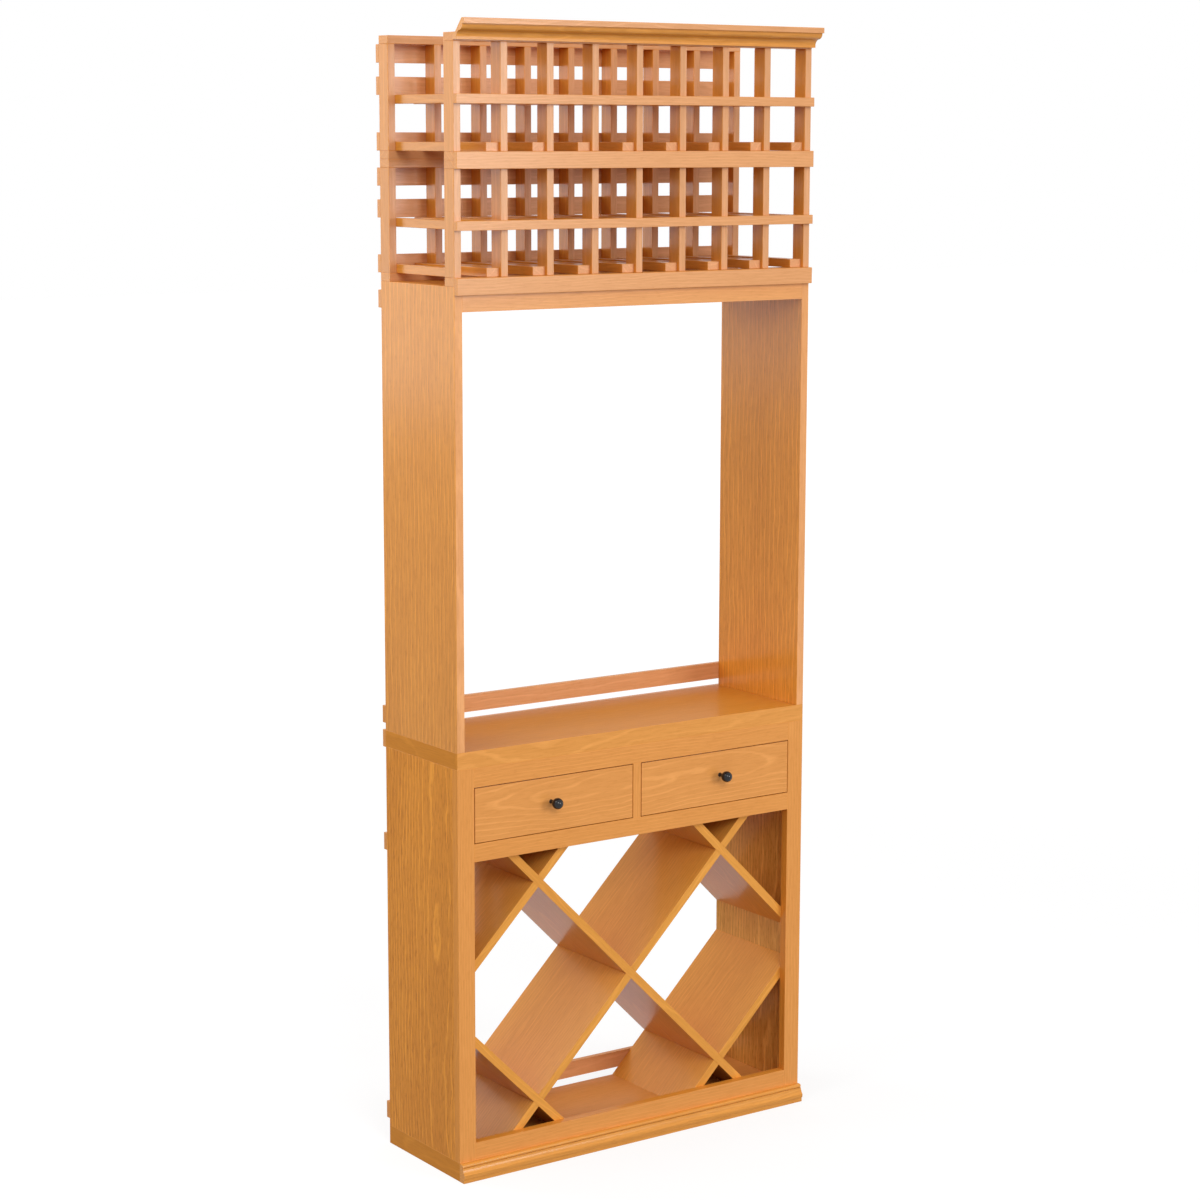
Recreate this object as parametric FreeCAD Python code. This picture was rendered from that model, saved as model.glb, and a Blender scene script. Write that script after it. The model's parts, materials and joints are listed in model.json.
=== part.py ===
"""Wine tasting station: a base with two drawers and a diamond bin, a counter, a niche and a storage rack.

Frame: millimetres, +Z up, +X to the right and -Y to the front. The origin is the middle of the base's underside.
"""
import FreeCAD, Part
import math
import os
from FreeCAD import Vector

# Overall: eight rack columns set the width
rack_columns = 8
column_pitch = 110.5
upright_width = 16.5
cabinet_depth = 284.0

# Base
base_slab_thickness = 40.0
base_side_thickness = 18.0
deck_thickness = 18.0

# Face frame
frame_thickness = 19.0
stile_width = 40.0
centre_stile_width = 20.0
bottom_rail_height = 37.0
bin_opening_height = 602.0
middle_rail_height = 38.0
drawer_opening_height = 118.5
top_rail_height = 41.0

# Diamond bin: boards at 45 degrees, crossing at the centre and at four points around it
bin_board_thickness = 18.0
bin_crossing_offset = 240.0
lap_clearance = 0.2

# Base moulding: a foot, a nose, a cove, a quirk and a bead
foot_projection = 15.5
foot_height = 10.0
nose_step = 3.0
nose_height = 8.0
cove_reach = 6.5
cove_height = 13.5
cove_sag = 1.2
quirk_depth = 1.0
quirk_height = 1.5
bead_reach = 3.0
bead_height = 6.0
bead_bulge = 1.3

# Counter and niche
counter_thickness = 35.25
niche_height = 892.75
niche_side_thickness = 18.0
header_height = 50.7
header_thickness = 18.0
niche_top_thickness = 18.0

# Rack module
module_count = 2
module_height = 247.65
upright_depth = 36.0
plate_thickness = 17.0
runner_height = 18.0
wide_runner_width = 29.5
wide_runner_setback = 8.0
narrow_runner_width = 16.0
narrow_runner_setback = 26.0
upper_runner_rise = 111.0

# Front rails of the rack
front_rail_thickness = 11.2
narrow_rail_height = 19.0
wide_rail_height = 34.0

# Back slats
slat_thickness = 12.0
slat_height = 37.0
header_slat_drop = 55.0
niche_slat_rise = 15.0
deck_slat_drop = 48.0
floor_slat_rise = 15.0

# Crown: a foot on the rack's front, an ogee and a lip, with a slanted back
crown_foot_thickness = 12.0
crown_fillet_height = 4.5
crown_ogee_reach = 23.0
crown_ogee_height = 25.0
crown_lip_step = 6.0
crown_lip_height = 11.5
crown_lip_depth = 9.0
crown_foot_height = 14.5
crown_foot_ledge = 8.6

# Drawers
drawer_reveal = 2.0
drawer_front_thickness = 18.0
drawer_board_thickness = 12.0
drawer_box_rise = 10.0
drawer_box_height = 90.0
drawer_box_length = 240.0
drawer_bottom_thickness = 6.0
drawer_bottom_rise = 8.0
drawer_groove_depth = 5.0

# Telescoping slides and their packers
slide_space = 12.7
slide_length = 230.0
slide_setback = 5.0
slide_height = 35.0
slide_metal_thickness = 1.2
slide_running_gap = 0.4
slide_flange_clearance = 1.0
packer_margin = 10.0
packer_length = 250.0

# Knobs and their screws
knob_spacing = 442.0
knob_rise = 65.0
knob_ball_radius = 12.0
knob_centre_projection = 25.0
knob_neck_radius = 4.0
knob_flange_radius = 4.6
knob_flange_thickness = 1.5
screw_radius = 2.0
screw_grip = 10.0
screw_tip_clearance = 1.0
screw_hole_clearance = 0.25
screw_thread_clearance = 0.05
screw_head_radius = 4.0
screw_head_thickness = 2.5

# One overrun for every cut
overrun = 5.0

# Places worked out from the sizes
cabinet_width = rack_columns * column_pitch + upright_width
x_right = cabinet_width / 2
x_left = -x_right
y_back = cabinet_depth / 2
y_front = -y_back
y_frame_back = y_front + frame_thickness
x_opening_outer = x_left + stile_width
x_opening_inner = -centre_stile_width / 2
z_bin_bottom = base_slab_thickness + bottom_rail_height
z_bin_top = z_bin_bottom + bin_opening_height
z_drawer_bottom = z_bin_top + middle_rail_height
z_drawer_top = z_drawer_bottom + drawer_opening_height
z_deck_underside = z_drawer_bottom - deck_thickness
z_counter_underside = z_drawer_top + top_rail_height
z_counter_top = z_counter_underside + counter_thickness
z_header_underside = z_counter_top + niche_height
z_rack_bottom = z_header_underside + header_height
z_rack_top = z_rack_bottom + module_count * module_height
y_drawer_box_front = y_front + drawer_front_thickness
z_drawer_box = z_drawer_bottom + drawer_box_rise
z_slide = z_drawer_box + drawer_box_height / 2
y_slide_front = y_frame_back + slide_setback


def block(x0, x1, y0, y1, z0, z1):
    """Return a box between three pairs of planes."""
    return Part.makeBox(x1 - x0, y1 - y0, z1 - z0, Vector(x0, y0, z0))


def mirrored(shape):
    """Return the same piece on the other side of the middle plane."""
    return shape.mirror(Vector(0, 0, 0), Vector(1, 0, 0))


def profile_length(edges):
    """Return a moulding: an outline in the YZ plane, run across the whole width."""
    face = Part.Face(Part.Wire(edges))
    return face.extrude(Vector(cabinet_width, 0, 0))


def line(start, end):
    """Return a straight edge of a moulding's outline at the left end."""
    return Part.LineSegment(Vector(x_left, *start), Vector(x_left, *end)).toShape()


def curve(start, middle, end):
    """Return a circular edge of a moulding's outline through three points."""
    return Part.Arc(Vector(x_left, *start), Vector(x_left, *middle), Vector(x_left, *end)).toShape()


def bulged(start, end, bulge):
    """Return a circular edge that stands to the left of its chord by the bulge at mid-length."""
    dy = end[0] - start[0]
    dz = end[1] - start[1]
    chord = math.hypot(dy, dz)
    middle = ((start[0] + end[0]) / 2 - bulge * dz / chord, (start[1] + end[1]) / 2 + bulge * dy / chord)
    return curve(start, middle, end)


# Base carcase

def base_floor_slab():
    """The thick board that the base stands on."""
    return block(x_left, x_right, y_front, y_back, 0, base_slab_thickness)


def base_side_left():
    """A side panel between the floor slab and the counter, behind the face frame."""
    inner = x_left + base_side_thickness
    return block(x_left, inner, y_frame_back, y_back, base_slab_thickness, z_counter_underside)


def drawer_deck():
    """The board under the drawers, which closes the bin at its top."""
    inner = x_left + base_side_thickness
    return block(inner, -inner, y_frame_back, y_back, z_deck_underside, z_drawer_bottom)


def drawer_partition():
    """The upright board between the drawers, as thick as the centre stile."""
    return block(x_opening_inner, -x_opening_inner, y_frame_back, y_back, z_drawer_bottom, z_counter_underside)


def drawer_slide_packers():
    """Blocks that bring the outer slides level with the edges of the stiles."""
    reach = slide_height / 2 + packer_margin
    inner = x_left + base_side_thickness
    left = block(inner, x_opening_outer, y_frame_back, y_frame_back + packer_length,
                 z_slide - reach, z_slide + reach)
    return Part.makeCompound([left, mirrored(left)])


# Face frame

def frame_stile_left():
    """The outer upright of the face frame."""
    return block(x_left, x_opening_outer, y_front, y_frame_back, base_slab_thickness, z_counter_underside)


def frame_rail(z0, z1):
    """Return a rail between the outer stiles."""
    return block(x_opening_outer, -x_opening_outer, y_front, y_frame_back, z0, z1)


def frame_stile_centre():
    """The short upright between the drawers."""
    return block(x_opening_inner, -x_opening_inner, y_front, y_frame_back, z_drawer_bottom, z_drawer_top)


def base_moulding():
    """The stepped moulding across the foot of the base."""
    outline = [(0, 0), (foot_projection, 0), (foot_projection, foot_height)]
    nose = foot_projection + nose_step
    outline.append((nose, foot_height))
    outline.append((nose, foot_height + nose_height))
    outline.append((nose - cove_reach, outline[-1][1] + cove_height))
    outline.append((outline[-1][0] - quirk_depth, outline[-1][1]))
    outline.append((outline[-1][0], outline[-1][1] + quirk_height))
    outline.append((outline[-1][0] - bead_reach, outline[-1][1] + bead_height))
    outline.append((0, outline[-1][1]))
    points = [(y_front - out, up) for out, up in outline]
    bulges = {4: cove_sag, 7: -bead_bulge}
    edges = []
    for index, start in enumerate(points):
        end = points[(index + 1) % len(points)]
        edges.append(bulged(start, end, -bulges[index]) if index in bulges else line(start, end))
    return profile_length(edges)


# Diamond bin

def bin_space():
    """Return the box that the diagonal boards are trimmed to."""
    inner = x_left + base_side_thickness
    return block(inner, -inner, y_frame_back, y_back, base_slab_thickness, z_deck_underside)


def diagonal(slope, lift, thickness, y0, y1):
    """Return a long board at 45 degrees that crosses the middle plane at a height above the bin's centre."""
    reach = cabinet_width + z_deck_underside
    board = block(-reach, reach, y0, y1, -thickness / 2, thickness / 2)
    board.rotate(Vector(0, 0, 0), Vector(0, 1, 0), -slope * math.degrees(math.atan(1)))
    board.translate(Vector(0, 0, (base_slab_thickness + z_deck_underside) / 2 + lift))
    return board


def bin_board(slope, place):
    """Return one diagonal board with a half lap at every crossing.

    slope is +1 where the board rises to the right and -1 where it falls. place is -1, 0 or 1 for the
    board below, through or above the bin's centre.
    """
    lift = 2 * bin_crossing_offset
    y_middle = (y_frame_back + y_back) / 2
    board = diagonal(slope, place * lift, bin_board_thickness, y_frame_back, y_back).common(bin_space())
    notch = (y_frame_back - overrun, y_middle) if slope > 0 else (y_middle, y_back + overrun)
    for other in (-1, 0, 1):
        slot = diagonal(-slope, other * lift, bin_board_thickness + lap_clearance, *notch)
        board = board.cut(slot)
    return board


# Counter and niche

def counter_top():
    """The thick top of the base."""
    return block(x_left, x_right, y_front, y_back, z_counter_underside, z_counter_top)


def niche_side_left():
    """A side panel that carries the rack."""
    return block(x_left, x_left + niche_side_thickness, y_front, y_back, z_counter_top, z_rack_bottom)


def niche_header():
    """The board across the top of the niche, between the side panels."""
    inner = x_left + niche_side_thickness
    return block(inner, -inner, y_front, y_front + header_thickness, z_header_underside, z_rack_bottom)


def niche_top():
    """The board that closes the niche behind the header and carries the rack."""
    inner = x_left + niche_side_thickness
    z_underside = z_rack_bottom - niche_top_thickness
    return block(inner, -inner, y_front + header_thickness, y_back, z_underside, z_rack_bottom)


# Rack

def upright_places():
    """Return the left face of each rack upright."""
    return [x_left + index * column_pitch for index in range(rack_columns + 1)]


def rack_uprights(z0, y0):
    """Return one row of uprights between the plates of a module that starts at z0."""
    low = z0 + plate_thickness
    high = z0 + module_height - plate_thickness
    rows = [block(x, x + upright_width, y0, y0 + upright_depth, low, high) for x in upright_places()]
    return Part.makeCompound(rows)


def rack_plates(z0):
    """Return the front and back plates under and over a module's uprights."""
    plates = []
    for y0 in (y_front, y_back - upright_depth):
        for low in (z0, z0 + module_height - plate_thickness):
            plates.append(block(x_left, x_right, y0, y0 + upright_depth, low, low + plate_thickness))
    return Part.makeCompound(plates)


def runner_levels(z0):
    """Return the underside of each row of runners of a module."""
    return (z0 + plate_thickness, z0 + upper_runner_rise)


def rack_wide_runners(z0):
    """Return the runners on the left faces of all uprights but the first."""
    runners = []
    for low in runner_levels(z0):
        for x in upright_places()[1:]:
            runners.append(block(x - wide_runner_width, x, y_front + wide_runner_setback, y_back,
                                 low, low + runner_height))
    return Part.makeCompound(runners)


def rack_narrow_runners(z0):
    """Return the runners on the right faces of all uprights but the last."""
    runners = []
    for low in runner_levels(z0):
        for x in upright_places()[:-1]:
            face = x + upright_width
            runners.append(block(face, face + narrow_runner_width, y_front + narrow_runner_setback, y_back,
                                 low, low + runner_height))
    return Part.makeCompound(runners)


def rack_front_rail(z_top, height):
    """Return a rail across the fronts of the uprights, with its top at z_top."""
    return block(x_left, x_right, y_front - front_rail_thickness, y_front, z_top - height, z_top)


def back_slats(levels):
    """Return slats across the back, each standing on one of the levels."""
    slats = [block(x_left, x_right, y_back, y_back + slat_thickness, low, low + slat_height) for low in levels]
    return Part.makeCompound(slats)


def rack_back_slats(z0):
    """Return the three slats behind a module."""
    top = z0 + module_height - plate_thickness - slat_height
    return back_slats([z0 + plate_thickness, z0 + upper_runner_rise + runner_height, top])


def crown_moulding():
    """The moulding across the rack's top: a foot, an ogee of two equal arcs and a lip, sprung at the back."""
    z_lip_top = z_rack_top - crown_foot_height + crown_fillet_height + crown_ogee_height + crown_lip_height
    z_foot = z_rack_top - crown_foot_height
    y_foot = y_front - crown_foot_thickness
    half_reach = crown_ogee_reach / 2
    half_height = crown_ogee_height / 2
    radius = (half_reach ** 2 + half_height ** 2) / crown_ogee_reach
    half_turn = math.atan2(half_height, radius - half_reach) / 2
    in_step = radius * (1 - math.cos(half_turn))
    up_step = radius * math.sin(half_turn)
    low = (y_foot, z_foot + crown_fillet_height)
    waist = (low[0] - half_reach, low[1] + half_height)
    high = (low[0] - crown_ogee_reach, low[1] + crown_ogee_height)
    y_lip = high[0] - crown_lip_step
    ledge = (y_front - crown_foot_ledge, z_rack_top)
    edges = [line((y_front, z_foot), (y_foot, z_foot)),
             line((y_foot, z_foot), low),
             curve(low, (low[0] - in_step, low[1] + up_step), waist),
             curve(waist, (high[0] + in_step, high[1] - up_step), high),
             line(high, (y_lip, high[1])),
             line((y_lip, high[1]), (y_lip, z_lip_top)),
             line((y_lip, z_lip_top), (y_lip + crown_lip_depth, z_lip_top)),
             line((y_lip + crown_lip_depth, z_lip_top), ledge),
             line(ledge, (y_front, z_rack_top)),
             line((y_front, z_rack_top), (y_front, z_foot))]
    return profile_length(edges)


# Drawers: each piece is made for the left drawer and mirrored for the right one

def screw_axis(radius, y0, y1):
    """Return a cylinder on the left knob's axis between two depths."""
    start = Vector(-knob_spacing / 2, y0, z_drawer_bottom + knob_rise)
    return Part.makeCylinder(radius, y1 - y0, start, Vector(0, 1, 0))


def screw_hole():
    """Return the cut for the knob's screw through the drawer front and the box front."""
    y_end = y_drawer_box_front + drawer_board_thickness + overrun
    return screw_axis(screw_radius + screw_hole_clearance, y_front - overrun, y_end)


def drawer_front():
    """The inset front, flush with the face frame."""
    panel = block(x_opening_outer + drawer_reveal, x_opening_inner - drawer_reveal, y_front, y_drawer_box_front,
                  z_drawer_bottom + drawer_reveal, z_drawer_top - drawer_reveal)
    return panel.cut(screw_hole())


def box_outer_faces():
    """Return the outer faces of the drawer box, a slide's space inside the opening."""
    return x_opening_outer + slide_space, x_opening_inner - slide_space


def drawer_bottom():
    """The thin board that lies in the grooves of the drawer's box."""
    x0, x1 = box_outer_faces()
    inset = drawer_board_thickness - drawer_groove_depth
    low = z_drawer_box + drawer_bottom_rise
    return block(x0 + inset, x1 - inset, y_drawer_box_front + inset,
                 y_drawer_box_front + drawer_box_length - inset, low, low + drawer_bottom_thickness)


def drawer_sides():
    """The two sides of the drawer's box, grooved for the bottom."""
    y1 = y_drawer_box_front + drawer_box_length
    sides = []
    x0, x1 = box_outer_faces()
    for low in (x0, x1 - drawer_board_thickness):
        side = block(low, low + drawer_board_thickness, y_drawer_box_front, y1,
                     z_drawer_box, z_drawer_box + drawer_box_height)
        sides.append(side.cut(drawer_bottom()))
    return Part.makeCompound(sides)


def drawer_ends():
    """The front and back of the drawer's box, between its sides, grooved for the bottom."""
    x0, x1 = box_outer_faces()
    ends = []
    for low in (y_drawer_box_front, y_drawer_box_front + drawer_box_length - drawer_board_thickness):
        end = block(x0 + drawer_board_thickness, x1 - drawer_board_thickness, low, low + drawer_board_thickness,
                    z_drawer_box, z_drawer_box + drawer_box_height)
        ends.append(end.cut(drawer_bottom()).cut(screw_hole()))
    return Part.makeCompound(ends)


def drawer_knob():
    """A ball on a short neck and a flange, bored for its screw."""
    centre = Vector(-knob_spacing / 2, y_front - knob_centre_projection, z_drawer_bottom + knob_rise)
    ball = Part.makeSphere(knob_ball_radius, centre)
    neck = screw_axis(knob_neck_radius, centre.y, y_front)
    flange = screw_axis(knob_flange_radius, y_front - knob_flange_thickness, y_front)
    bore_end = y_front - screw_grip - screw_tip_clearance
    bore = screw_axis(screw_radius + screw_thread_clearance, bore_end, y_front + overrun)
    return ball.fuse([neck, flange]).removeSplitter().cut(bore)


def drawer_knob_screw():
    """The screw that holds the knob from inside the box."""
    y_head = y_drawer_box_front + drawer_board_thickness
    shank = screw_axis(screw_radius, y_front - screw_grip, y_head)
    head = screw_axis(screw_head_radius, y_head, y_head + screw_head_thickness)
    return shank.fuse(head)


def channel(x_closed, x_open, half_height):
    """Return a C-section along the slide with its web at x_closed and its flanges reaching to x_open."""
    wall = slide_metal_thickness
    toward = 1 if x_open > x_closed else -1
    y1 = y_slide_front + slide_length
    outer = sorted((x_closed, x_open))
    hollow = sorted((x_closed + toward * wall, x_open + toward * overrun))
    body = block(*outer, y_slide_front, y1, z_slide - half_height, z_slide + half_height)
    space = block(*hollow, y_slide_front - overrun, y1 + overrun,
                  z_slide - half_height + wall, z_slide + half_height - wall)
    return body.cut(space)


def both_slides(near, far, half_height):
    """Return a member of the outer and of the inner slide of the left drawer.

    near and far are the web's face and the flanges' edge, measured from the opening's edge into it.
    """
    outer = channel(x_opening_outer + near, x_opening_outer + far, half_height)
    inner = channel(x_opening_inner - near, x_opening_inner - far, half_height)
    return [outer, inner]


def slide_cabinet_members():
    """The fixed channels of all four slides."""
    left = both_slides(0, slide_space - slide_flange_clearance, slide_height / 2)
    return Part.makeCompound(left + [mirrored(member) for member in left])


def slide_middle_members():
    """The channels that run between the cabinet's and the drawer's."""
    shift = slide_metal_thickness + slide_running_gap
    return Part.makeCompound(both_slides(shift, slide_space - slide_flange_clearance, slide_height / 2 - shift))


def slide_drawer_members():
    """The innermost channels, on the sides of the drawer's box."""
    shift = 2 * (slide_metal_thickness + slide_running_gap)
    return Part.makeCompound(both_slides(slide_space, shift, slide_height / 2 - shift))


def all_nodes():
    """Return every node's name with its shape."""
    nodes = {
        "base_floor_slab": base_floor_slab(),
        "base_side_left": base_side_left(),
        "base_side_right": mirrored(base_side_left()),
        "base_moulding": base_moulding(),
        "frame_stile_left": frame_stile_left(),
        "frame_stile_right": mirrored(frame_stile_left()),
        "frame_stile_centre": frame_stile_centre(),
        "frame_rail_bottom": frame_rail(base_slab_thickness, z_bin_bottom),
        "frame_rail_middle": frame_rail(z_bin_top, z_drawer_bottom),
        "frame_rail_top": frame_rail(z_drawer_top, z_counter_underside),
        "drawer_deck": drawer_deck(),
        "drawer_partition": drawer_partition(),
        "drawer_slide_packers": drawer_slide_packers(),
        "drawer_slide_cabinet_members": slide_cabinet_members(),
        "counter_top": counter_top(),
        "niche_side_left": niche_side_left(),
        "niche_side_right": mirrored(niche_side_left()),
        "niche_header": niche_header(),
        "niche_top": niche_top(),
        "crown_moulding": crown_moulding(),
        "niche_back_slats": back_slats([z_counter_top + niche_slat_rise, z_rack_bottom - header_slat_drop]),
        "base_back_slats": back_slats([base_slab_thickness + floor_slat_rise, z_deck_underside - deck_slat_drop,
                                       z_counter_top - slat_height]),
    }
    places = {"lower": -1, "centre": 0, "upper": 1}
    for place, step in places.items():
        nodes[f"bin_board_rising_{place}"] = bin_board(1, step)
        nodes[f"bin_board_falling_{place}"] = bin_board(-1, step)
    for index, level in enumerate(("lower", "upper")):
        z0 = z_rack_bottom + index * module_height
        narrow_top = z0 + upper_runner_rise + runner_height
        nodes[f"rack_{level}_front_uprights"] = rack_uprights(z0, y_front)
        nodes[f"rack_{level}_back_uprights"] = rack_uprights(z0, y_back - upright_depth)
        nodes[f"rack_{level}_plates"] = rack_plates(z0)
        nodes[f"rack_{level}_wide_runners"] = rack_wide_runners(z0)
        nodes[f"rack_{level}_narrow_runners"] = rack_narrow_runners(z0)
        nodes[f"rack_{level}_back_slats"] = rack_back_slats(z0)
        nodes[f"rack_{level}_narrow_rail"] = rack_front_rail(narrow_top, narrow_rail_height)
        nodes[f"rack_{level}_wide_rail"] = rack_front_rail(z0 + wide_rail_height / 2, wide_rail_height)
    drawer = {
        "front": drawer_front(),
        "sides": drawer_sides(),
        "ends": drawer_ends(),
        "bottom": drawer_bottom(),
        "knob": drawer_knob(),
        "knob_screw": drawer_knob_screw(),
        "slide_middle_members": slide_middle_members(),
        "slide_drawer_members": slide_drawer_members(),
    }
    for name, shape in drawer.items():
        nodes[f"drawer_left_{name}"] = shape
        nodes[f"drawer_right_{name}"] = mirrored(shape)
    return nodes


os.makedirs("parts", exist_ok=True)
for node_name, node_shape in all_nodes().items():
    node_shape.exportStep(f"parts/{node_name}.step")
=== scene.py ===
"""Looks of the wine tasting station: boards of solid wood, mouldings, knobs, slides and the studio."""
import json
import logging
import math
from dataclasses import dataclass, field
from enum import Enum

import bmesh
import bpy
import numpy as np
from mathutils import Matrix, Vector

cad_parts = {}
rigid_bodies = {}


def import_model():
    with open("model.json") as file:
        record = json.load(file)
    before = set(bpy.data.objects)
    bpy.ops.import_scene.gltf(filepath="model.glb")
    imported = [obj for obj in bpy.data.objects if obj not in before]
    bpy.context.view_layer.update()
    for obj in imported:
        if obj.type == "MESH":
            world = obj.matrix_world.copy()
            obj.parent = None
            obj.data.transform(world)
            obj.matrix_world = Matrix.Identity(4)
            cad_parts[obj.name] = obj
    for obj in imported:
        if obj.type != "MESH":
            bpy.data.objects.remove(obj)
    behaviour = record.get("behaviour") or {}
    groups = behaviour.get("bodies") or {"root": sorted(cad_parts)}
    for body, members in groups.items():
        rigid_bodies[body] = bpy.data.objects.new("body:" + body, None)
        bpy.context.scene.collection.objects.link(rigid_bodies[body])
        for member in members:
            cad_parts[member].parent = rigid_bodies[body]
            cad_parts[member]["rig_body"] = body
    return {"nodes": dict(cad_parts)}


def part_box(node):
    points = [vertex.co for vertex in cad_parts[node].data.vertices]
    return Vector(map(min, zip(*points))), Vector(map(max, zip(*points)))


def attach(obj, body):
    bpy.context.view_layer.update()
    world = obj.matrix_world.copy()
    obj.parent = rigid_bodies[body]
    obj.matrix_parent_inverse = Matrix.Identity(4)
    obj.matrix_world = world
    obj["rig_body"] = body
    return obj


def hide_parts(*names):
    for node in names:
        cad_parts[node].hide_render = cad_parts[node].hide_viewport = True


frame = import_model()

LOG = logging.getLogger("tasting_station")
MM = 0.001
Array = np.ndarray
Colour = tuple[float, float, float]
Direction = tuple[float, float, float]
Socket = bpy.types.NodeSocket
Input = Socket | float | tuple[float, ...] | None
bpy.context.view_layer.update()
DICE = np.random.default_rng(7)
FORWARD: Direction = (0.0, -1.0, 0.0)
MERGED_WITHIN = 0.02 * MM
FLAT_WITHIN = math.radians(1.0)
ARRIS_FROM = math.radians(40.0)


class Grain(Enum):
    """The direction in which a board's fibres run, as its three own axes: along, across and through."""

    X = ((1.0, 0.0, 0.0), (0.0, 1.0, 0.0), (0.0, 0.0, 1.0))
    Y = ((0.0, 1.0, 0.0), (0.0, 0.0, 1.0), (1.0, 0.0, 0.0))
    Z = ((0.0, 0.0, 1.0), (1.0, 0.0, 0.0), (0.0, 1.0, 0.0))
    RISING = ((math.sqrt(0.5), 0.0, math.sqrt(0.5)), (0.0, 1.0, 0.0), (-math.sqrt(0.5), 0.0, math.sqrt(0.5)))
    FALLING = ((math.sqrt(0.5), 0.0, -math.sqrt(0.5)), (0.0, 1.0, 0.0), (math.sqrt(0.5), 0.0, math.sqrt(0.5)))

    def axes(self) -> Array:
        """Return the three axes as the rows of a matrix."""
        return np.array(self.value)


class Shader:
    """A material's node tree with short calls for the nodes that the finishes use."""

    def __init__(self, name: str) -> None:
        """Start an empty material.

        Args:
            name: The material's name.
        """
        self.material = bpy.data.materials.new(name)
        self.material.use_nodes = True
        self.tree = self.material.node_tree
        self.tree.nodes.clear()
        self.output = self.tree.nodes.new("ShaderNodeOutputMaterial")

    def node(self, kind: str, **inputs: Input) -> bpy.types.Node:
        """Add a node and set or link its inputs.

        Args:
            kind: The node's type without its ShaderNode prefix.
            inputs: Input names, with underscores for spaces, and what each gets.

        Returns:
            The new node.
        """
        made = self.tree.nodes.new(f"ShaderNode{kind}")
        for key, value in inputs.items():
            self.put(made.inputs[key.replace("_", " ")], value)
        return made

    def put(self, socket: Socket, value: Input) -> None:
        """Link a socket, or set it to a plain value.

        Args:
            socket: The socket that is fed.
            value: Another node's output, a plain value, or None to leave the socket alone.
        """
        if isinstance(value, Socket):
            self.tree.links.new(value, socket)
        elif value is not None:
            socket.default_value = value

    def attribute(self, name: str, scalar: bool = False) -> Socket:
        """Read a piece's own attribute.

        Args:
            name: The attribute's name.
            scalar: Whether it holds single values rather than vectors.

        Returns:
            The attribute's value.
        """
        made = self.node("Attribute")
        made.attribute_name = name
        return made.outputs["Fac" if scalar else "Vector"]

    def math(self, operation: str, first: Input, second: Input = None, third: Input = None,
             clamp: bool = False) -> Socket:
        """Work out a scalar operation.

        Args:
            operation: The operation's name.
            first: Its first value.
            second: Its second value.
            third: Its third value.
            clamp: Whether the result is kept from 0 to 1.

        Returns:
            The result.
        """
        made = self.tree.nodes.new("ShaderNodeMath")
        made.operation = operation
        made.use_clamp = clamp
        for socket, value in zip(made.inputs, (first, second, third)):
            self.put(socket, value)
        return made.outputs[0]

    def vector(self, operation: str, first: Input, second: Input = None) -> Socket:
        """Work out a vector operation.

        Args:
            operation: The operation's name.
            first: Its first vector.
            second: Its second vector.

        Returns:
            The result, a single value for a length.
        """
        made = self.tree.nodes.new("ShaderNodeVectorMath")
        made.operation = operation
        self.put(made.inputs[0], first)
        self.put(made.inputs[1], second)
        return made.outputs["Value" if operation == "LENGTH" else "Vector"]

    def noise(self, place: Socket, per_metre: tuple[float, float, float], detail: float = 2.0,
              roughness: float = 0.5, colour: bool = False) -> Socket:
        """Work out smooth noise.

        Args:
            place: The place that it depends on, in metres.
            per_metre: How many features there are to a metre along each axis.
            detail: How many finer layers are added.
            roughness: How strong each finer layer is beside the one before it.
            colour: Whether three noises are wanted, as a colour, rather than one.

        Returns:
            The noise, about 0.5 on average.
        """
        place = self.vector("MULTIPLY", place, per_metre)
        made = self.node("TexNoise", Vector=place, Scale=1.0, Detail=detail, Roughness=roughness)
        return made.outputs["Color" if colour else "Fac"]

    def range(self, value: Input, low: float, high: float, start: float = 0.0, end: float = 1.0) -> Socket:
        """Carry a value smoothly from one range to another.

        Args:
            value: The value.
            low: Where the first range starts.
            high: Where the first range ends.
            start: What low becomes.
            end: What high becomes.

        Returns:
            The carried value, which stays between start and end.
        """
        made = self.node("MapRange", Value=value, From_Min=low, From_Max=high, To_Min=start, To_Max=end)
        made.interpolation_type = "SMOOTHSTEP"
        return made.outputs[0]

    def mix(self, share: Input, first: Input, second: Input) -> Socket:
        """Mix two colours.

        Args:
            share: The share of the second colour.
            first: The first colour.
            second: The second colour.

        Returns:
            The mixed colour.
        """
        made = self.tree.nodes.new("ShaderNodeMix")
        made.data_type = "RGBA"
        self.put(made.inputs["Factor"], share)
        for key, value in (("A", first), ("B", second)):
            socket = next(item for item in made.inputs if item.name == key and item.type == "RGBA")
            self.put(socket, (*value, 1.0) if isinstance(value, tuple) else value)
        return next(item for item in made.outputs if item.type == "RGBA")

    def finish(self, surface: bpy.types.Node) -> bpy.types.Material:
        """Link the surface to the output and return the material."""
        self.tree.links.new(surface.outputs[0], self.output.inputs["Surface"])
        return self.material


@dataclass(frozen=True)
class GrainLayer:
    """Noise drawn out along a board and spread to the range 0 to 1, such as its flecks."""

    per_metre: tuple[float, float, float]
    low: float
    high: float
    middle: float
    detail: float = 1.0

    def value(self, s: Shader, place: Socket) -> Socket:
        """Return the layer's value at a place in the board."""
        return s.range(s.noise(place, self.per_metre, self.detail), self.low, self.high)


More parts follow.
